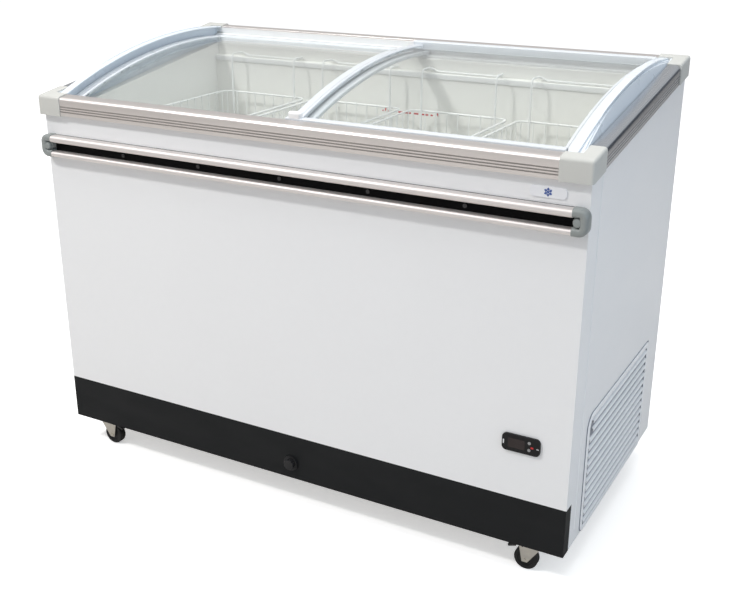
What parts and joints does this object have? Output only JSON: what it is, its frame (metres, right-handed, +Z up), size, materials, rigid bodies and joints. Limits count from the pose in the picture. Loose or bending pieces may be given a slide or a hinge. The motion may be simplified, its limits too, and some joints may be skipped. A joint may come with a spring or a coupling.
{
  "type": "chest freezer",
  "caption": "Glass-top chest freezer on casters, with a sloping rim, sliding curved glass lids, hanging wire baskets, a front bumper and a compressor bay.",
  "frame": {"origin": "on the floor, under the middle of the whole object", "axes": "+X to the right seen from the front, +Y to the back, +Z up"},
  "size_m": [1.263, 0.643, 0.9547],
  "materials": {
    "white_steel": "satin powder coat",
    "back_steel": "satin",
    "galvanised_steel": "zinc plated",
    "kick_black": "satin black",
    "liner_white": "satin",
    "foam_yellow": "cellular foam",
    "aluminium_tube": "drawn tube",
    "copper_tube": "drawn tube",
    "rim_aluminium": "brushed anodised",
    "cap_plastic": "fine texture",
    "rail_plastic": "smooth",
    "arch_plastic": "semi gloss",
    "lid_plastic": "semi gloss",
    "handle_plastic": "gloss",
    "lid_glass": "tempered, clear",
    "bumper_silver": "satin anodised",
    "bumper_black": "smooth",
    "bumper_grey": "smooth",
    "screw_steel": "blackened",
    "controller_black": "gloss",
    "window_smoke": "gloss",
    "button_grey": "smooth",
    "badge_white": "gloss",
    "compressor_black": "gloss enamel",
    "grommet_rubber": "matte",
    "condenser_fins": "mill",
    "fan_motor_grey": "satin",
    "fan_plastic": "smooth",
    "gland_black": "smooth",
    "plug_black": "matte",
    "wheel_black": "matte",
    "pedal_black": "smooth",
    "basket_wire": "plastic coated wire"
  },
  "bodies": {
    "root": {"back_panel": "back_steel", "base_pan": "galvanised_steel", "bumper_channel": "bumper_black", "bumper_end_caps": "bumper_grey", "bumper_lower_rail": "bumper_silver", "bumper_screws": "screw_steel", "bumper_upper_rail": "bumper_silver", "caster_bolts": "galvanised_steel", "caster_plates": "galvanised_steel", "compressor": "compressor_black", "compressor_grommets": "grommet_rubber", "condenser": "condenser_fins", "controller_case": "controller_black", "controller_window": "window_smoke", "cord_gland": "gland_black", "drain_tube": "rail_plastic", "end_arch_left": "arch_plastic", "end_arch_right": "arch_plastic", "evaporator_coil": "aluminium_tube", "fan_motor": "fan_motor_grey", "foam_insulation": "foam_yellow", "front_panel": "white_steel", "inner_liner": "liner_white", "kick_plate": "kick_black", "left_side_panel": "white_steel", "lid_rail_front": "rail_plastic", "lid_rail_rear": "rail_plastic", "name_badge": "badge_white", "refrigerant_pipes": "copper_tube", "right_side_panel": "white_steel", "rim_corner_caps": "cap_plastic", "rim_front": "rim_aluminium", "rim_left": "rim_aluminium", "rim_rear": "rim_aluminium", "rim_right": "rim_aluminium", "vent_grille": "white_steel"},
    "left_lid": {"left_lid_glass": "lid_glass", "left_lid_frame": "lid_plastic", "left_lid_handle": "handle_plastic"},
    "right_lid": {"right_lid_glass": "lid_glass", "right_lid_frame": "lid_plastic", "right_lid_handle": "handle_plastic"},
    "fan": {"fan_blade": "fan_plastic"},
    "caster_front_left": {"caster_fork_front_left": "galvanised_steel"},
    "wheel_front_left": {"caster_wheel_front_left": "wheel_black"},
    "caster_front_right": {"caster_fork_front_right": "galvanised_steel"},
    "wheel_front_right": {"caster_wheel_front_right": "wheel_black"},
    "caster_rear_left": {"caster_fork_rear_left": "galvanised_steel"},
    "wheel_rear_left": {"caster_wheel_rear_left": "wheel_black"},
    "caster_rear_right": {"caster_fork_rear_right": "galvanised_steel"},
    "wheel_rear_right": {"caster_wheel_rear_right": "wheel_black"},
    "pedal_front_left": {"brake_pedal_front_left": "pedal_black"},
    "pedal_front_right": {"brake_pedal_front_right": "pedal_black"},
    "basket_1": {"basket_1": "basket_wire"},
    "basket_2": {"basket_2": "basket_wire"},
    "basket_3": {"basket_3": "basket_wire"},
    "basket_4": {"basket_4": "basket_wire"},
    "drain_plug": {"drain_plug": "plug_black"},
    "down_button": {"controller_down_button": "button_grey"},
    "up_button": {"controller_up_button": "button_grey"}
  },
  "joints": [
    {"name": "left_lid_slide", "type": "slide", "parent": "root", "child": "left_lid", "axis": [1, 0, 0], "range_m": [0, 0.54]},
    {"name": "right_lid_slide", "type": "slide", "parent": "root", "child": "right_lid", "axis": [-1, 0, 0], "range_m": [0, 0.56]},
    {"name": "fan_spin", "type": "hinge", "parent": "root", "child": "fan", "pos_m": [0.52, -0.2, 0.174], "axis": [0, 1, 0], "continuous": true},
    {"name": "swivel_front_left", "type": "hinge", "parent": "root", "child": "caster_front_left", "pos_m": [-0.558, -0.264, 0.06], "axis": [0, 0, 1], "continuous": true},
    {"name": "roll_front_left", "type": "hinge", "parent": "caster_front_left", "child": "wheel_front_left", "pos_m": [-0.54, -0.264, 0.025], "axis": [0, 1, 0], "continuous": true},
    {"name": "swivel_front_right", "type": "hinge", "parent": "root", "child": "caster_front_right", "pos_m": [0.558, -0.264, 0.06], "axis": [0, 0, 1], "continuous": true},
    {"name": "roll_front_right", "type": "hinge", "parent": "caster_front_right", "child": "wheel_front_right", "pos_m": [0.54, -0.264, 0.025], "axis": [0, 1, 0], "continuous": true},
    {"name": "swivel_rear_left", "type": "hinge", "parent": "root", "child": "caster_rear_left", "pos_m": [-0.558, 0.278, 0.06], "axis": [0, 0, 1], "continuous": true},
    {"name": "roll_rear_left", "type": "hinge", "parent": "caster_rear_left", "child": "wheel_rear_left", "pos_m": [-0.54, 0.278, 0.025], "axis": [0, 1, 0], "continuous": true},
    {"name": "swivel_rear_right", "type": "hinge", "parent": "root", "child": "caster_rear_right", "pos_m": [0.558, 0.278, 0.06], "axis": [0, 0, 1], "continuous": true},
    {"name": "roll_rear_right", "type": "hinge", "parent": "caster_rear_right", "child": "wheel_rear_right", "pos_m": [0.54, 0.278, 0.025], "axis": [0, 1, 0], "continuous": true},
    {"name": "brake_front_left", "type": "hinge", "parent": "caster_front_left", "child": "pedal_front_left", "pos_m": [-0.534, -0.264, 0.0545], "axis": [0, 1, 0], "range_deg": [0, 12]},
    {"name": "brake_front_right", "type": "hinge", "parent": "caster_front_right", "child": "pedal_front_right", "pos_m": [0.534, -0.264, 0.0545], "axis": [0, -1, 0], "range_deg": [0, 12]},
    {"name": "basket_lift_1", "type": "slide", "parent": "root", "child": "basket_1", "axis": [0, 0, 1], "range_m": [0, 0.025]},
    {"name": "basket_lift_2", "type": "slide", "parent": "root", "child": "basket_2", "axis": [0, 0, 1], "range_m": [0, 0.025]},
    {"name": "basket_lift_3", "type": "slide", "parent": "root", "child": "basket_3", "axis": [0, 0, 1], "range_m": [0, 0.025]},
    {"name": "basket_lift_4", "type": "slide", "parent": "root", "child": "basket_4", "axis": [0, 0, 1], "range_m": [0, 0.025]},
    {"name": "drain_plug_pull", "type": "slide", "parent": "root", "child": "drain_plug", "axis": [0, -1, 0], "range_m": [0, 0.04]},
    {"name": "down_button_press", "type": "slide", "parent": "root", "child": "down_button", "axis": [0, 1, 0], "range_m": [0, 0.0012], "stiffness_N_per_m": 500},
    {"name": "up_button_press", "type": "slide", "parent": "root", "child": "up_button", "axis": [0, 1, 0], "range_m": [0, 0.0012], "stiffness_N_per_m": 500}
  ]
}
